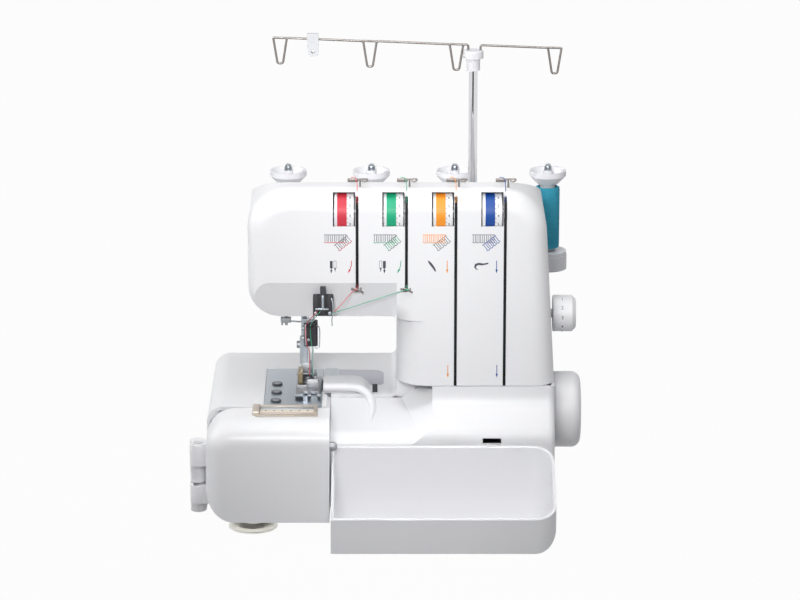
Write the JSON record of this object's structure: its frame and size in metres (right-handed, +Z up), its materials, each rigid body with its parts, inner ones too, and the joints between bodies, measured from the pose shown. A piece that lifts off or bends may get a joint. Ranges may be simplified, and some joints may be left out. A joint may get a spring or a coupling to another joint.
{
  "type": "serger overlock sewing machine",
  "caption": "Tabletop overlock sewing machine with a rounded white head on a column, coloured tension dials, rear thread stand, swing-out side cover and a hook-on waste bin.",
  "frame": {"origin": "on the table, under the middle of the machine", "axes": "+X towards the handwheel, +Y from the sewer to the back, +Z up"},
  "size_m": [0.34, 0.318, 0.3939],
  "materials": {
    "white_casing": "smooth moulded",
    "cast_frame": "as cast",
    "steel": "satin",
    "chrome": "polished",
    "black_plastic": "fine grain",
    "rubber_foot": "soft",
    "belt_rubber": "toothed",
    "dial_red": "moulded",
    "dial_green": "moulded",
    "dial_orange": "moulded",
    "dial_blue": "moulded",
    "thread_teal": "spun polyester",
    "thread_red": "spun polyester",
    "core_grey": "moulded",
    "clip_clear": "frosted",
    "lens": "frosted"
  },
  "bodies": {
    "machine": {"base_casing": "white_casing", "bottom_plate": "steel", "drive_belt": "belt_rubber", "front_casing": "white_casing", "guide_bracket": "steel", "hinge_leaf": "white_casing", "idle_caps": "white_casing", "knife_guard": "white_casing", "lamp": "lens", "lower_knife": "steel", "machine_frame": "cast_frame", "motor": "steel", "needle_plate": "steel", "needle_threads": "thread_red", "outer_pole": "chrome", "plate_insert": "steel", "power_inlet": "black_plastic", "presser_spring": "steel", "rear_casing": "white_casing", "screws": "steel", "shaft_bearings": "steel", "spool_pins": "steel", "spool_stand": "white_casing", "suction_feet": "rubber_foot", "take_up_block": "black_plastic", "tension_shaft": "steel", "thread_guides": "steel"},
    "handwheel": {"handwheel": "white_casing", "main_shaft": "steel", "drive_pulley": "steel"},
    "motor_pulley": {"motor_pulley": "steel"},
    "needle_bar": {"needle_bar": "chrome", "needle_clamp": "black_plastic", "needles": "chrome"},
    "presser": {"presser_bar": "steel", "presser_foot": "steel"},
    "lifter": {"lifter_lever": "white_casing"},
    "dial_red": {"tension_dial_red": "dial_red"},
    "dial_green": {"tension_dial_green": "dial_green"},
    "dial_orange": {"tension_dial_orange": "dial_orange"},
    "dial_blue": {"tension_dial_blue": "dial_blue"},
    "stitch_dial": {"stitch_dial": "white_casing"},
    "thread_tree": {"inner_pole": "chrome", "guide_cap": "white_casing", "guide_tree": "steel", "wire_clip": "clip_clear"},
    "side_cover": {"side_cover": "white_casing", "latch_pin": "chrome", "seam_guide": "steel"},
    "looper_cover": {"looper_cover": "white_casing"},
    "waste_bin": {"waste_bin": "white_casing"},
    "spool": {"spool_core": "core_grey", "thread_pack": "thread_teal", "thread_winding": "thread_teal"},
    "spool_cap": {"spool_cap": "white_casing"},
    "feed_dog": {"feed_dog": "steel"},
    "upper_knife": {"upper_knife": "steel"},
    "upper_looper": {"upper_looper": "steel"},
    "lower_looper": {"lower_looper": "steel"},
    "switch_rocker": {"switch_rocker": "black_plastic"}
  },
  "joints": [
    {"name": "handwheel_turn", "type": "hinge", "parent": "machine", "child": "handwheel", "pos_m": [0.158, 0.02, 0.074], "axis": [1, 0, 0], "continuous": true},
    {"name": "motor_turn", "type": "hinge", "parent": "machine", "child": "motor_pulley", "pos_m": [0.133, 0.084, 0.054], "axis": [1, 0, 0], "continuous": true},
    {"name": "needle_bar_travel", "type": "slide", "parent": "machine", "child": "needle_bar", "axis": [0, 0, 1], "range_m": [-0.027, 0]},
    {"name": "presser_lift", "type": "slide", "parent": "machine", "child": "presser", "axis": [0, 0, 1], "range_m": [0, 0.006]},
    {"name": "foot_lifter_turn", "type": "hinge", "parent": "machine", "child": "lifter", "pos_m": [-0.05, 0.1, 0.196], "axis": [0, 1, 0], "range_deg": [0, 40]},
    {"name": "tension_red_turn", "type": "hinge", "parent": "machine", "child": "dial_red", "pos_m": [-0.0371, -0.0352, 0.268], "axis": [1, 0, 0], "range_deg": [-135, 135]},
    {"name": "tension_green_turn", "type": "hinge", "parent": "machine", "child": "dial_green", "pos_m": [0.0051, -0.0352, 0.268], "axis": [1, 0, 0], "range_deg": [-135, 135]},
    {"name": "tension_orange_turn", "type": "hinge", "parent": "machine", "child": "dial_orange", "pos_m": [0.0473, -0.0352, 0.268], "axis": [1, 0, 0], "range_deg": [-135, 135]},
    {"name": "tension_blue_turn", "type": "hinge", "parent": "machine", "child": "dial_blue", "pos_m": [0.0895, -0.0352, 0.268], "axis": [1, 0, 0], "range_deg": [-135, 135]},
    {"name": "stitch_length_turn", "type": "hinge", "parent": "machine", "child": "stitch_dial", "pos_m": [0.155, 0.02, 0.162], "axis": [1, 0, 0], "range_deg": [-140, 140]},
    {"name": "thread_tree_slide", "type": "slide", "parent": "machine", "child": "thread_tree", "axis": [0, 0, 1], "range_m": [-0.08, 0]},
    {"name": "side_cover_swing", "type": "hinge", "parent": "machine", "child": "side_cover", "pos_m": [-0.1635, -0.075, 0.05], "axis": [0, 0, -1], "range_deg": [0, 95]},
    {"name": "looper_cover_slide", "type": "slide", "parent": "machine", "child": "looper_cover", "axis": [1, 0, 0], "range_m": [0, 0.009]},
    {"name": "waste_bin_pull", "type": "slide", "parent": "machine", "child": "waste_bin", "axis": [0, -1, 0], "range_m": [0, 0.12]},
    {"name": "spool_turn", "type": "hinge", "parent": "machine", "child": "spool", "pos_m": [0.1445, 0.141, 0.22], "axis": [0, 0, 1], "continuous": true},
    {"name": "spool_cap_lift", "type": "slide", "parent": "machine", "child": "spool_cap", "axis": [0, 0, 1], "range_m": [0, 0.06]},
    {"name": "feed_dog_travel", "type": "slide", "parent": "machine", "child": "feed_dog", "axis": [0, 1, 0], "range_m": [-0.002, 0.002]},
    {"name": "upper_knife_travel", "type": "slide", "parent": "machine", "child": "upper_knife", "axis": [0, 0, 1], "range_m": [-0.008, 0]},
    {"name": "upper_looper_swing", "type": "hinge", "parent": "machine", "child": "upper_looper", "pos_m": [-0.028, -0.012, 0.046], "axis": [0, 1, 0], "range_deg": [-10, 10]},
    {"name": "lower_looper_swing", "type": "hinge", "parent": "machine", "child": "lower_looper", "pos_m": [-0.101, -0.019, 0.05], "axis": [0, 1, 0], "range_deg": [-10, 10]},
    {"name": "switch_rock", "type": "hinge", "parent": "machine", "child": "switch_rocker", "pos_m": [0.143, 0.094, 0.0785], "axis": [0, 1, 0], "range_deg": [-8, 8]}
  ],
  "couplings": [
    {"joint": "motor_turn", "follows": "handwheel_turn", "ratio": 3.25}
  ]
}
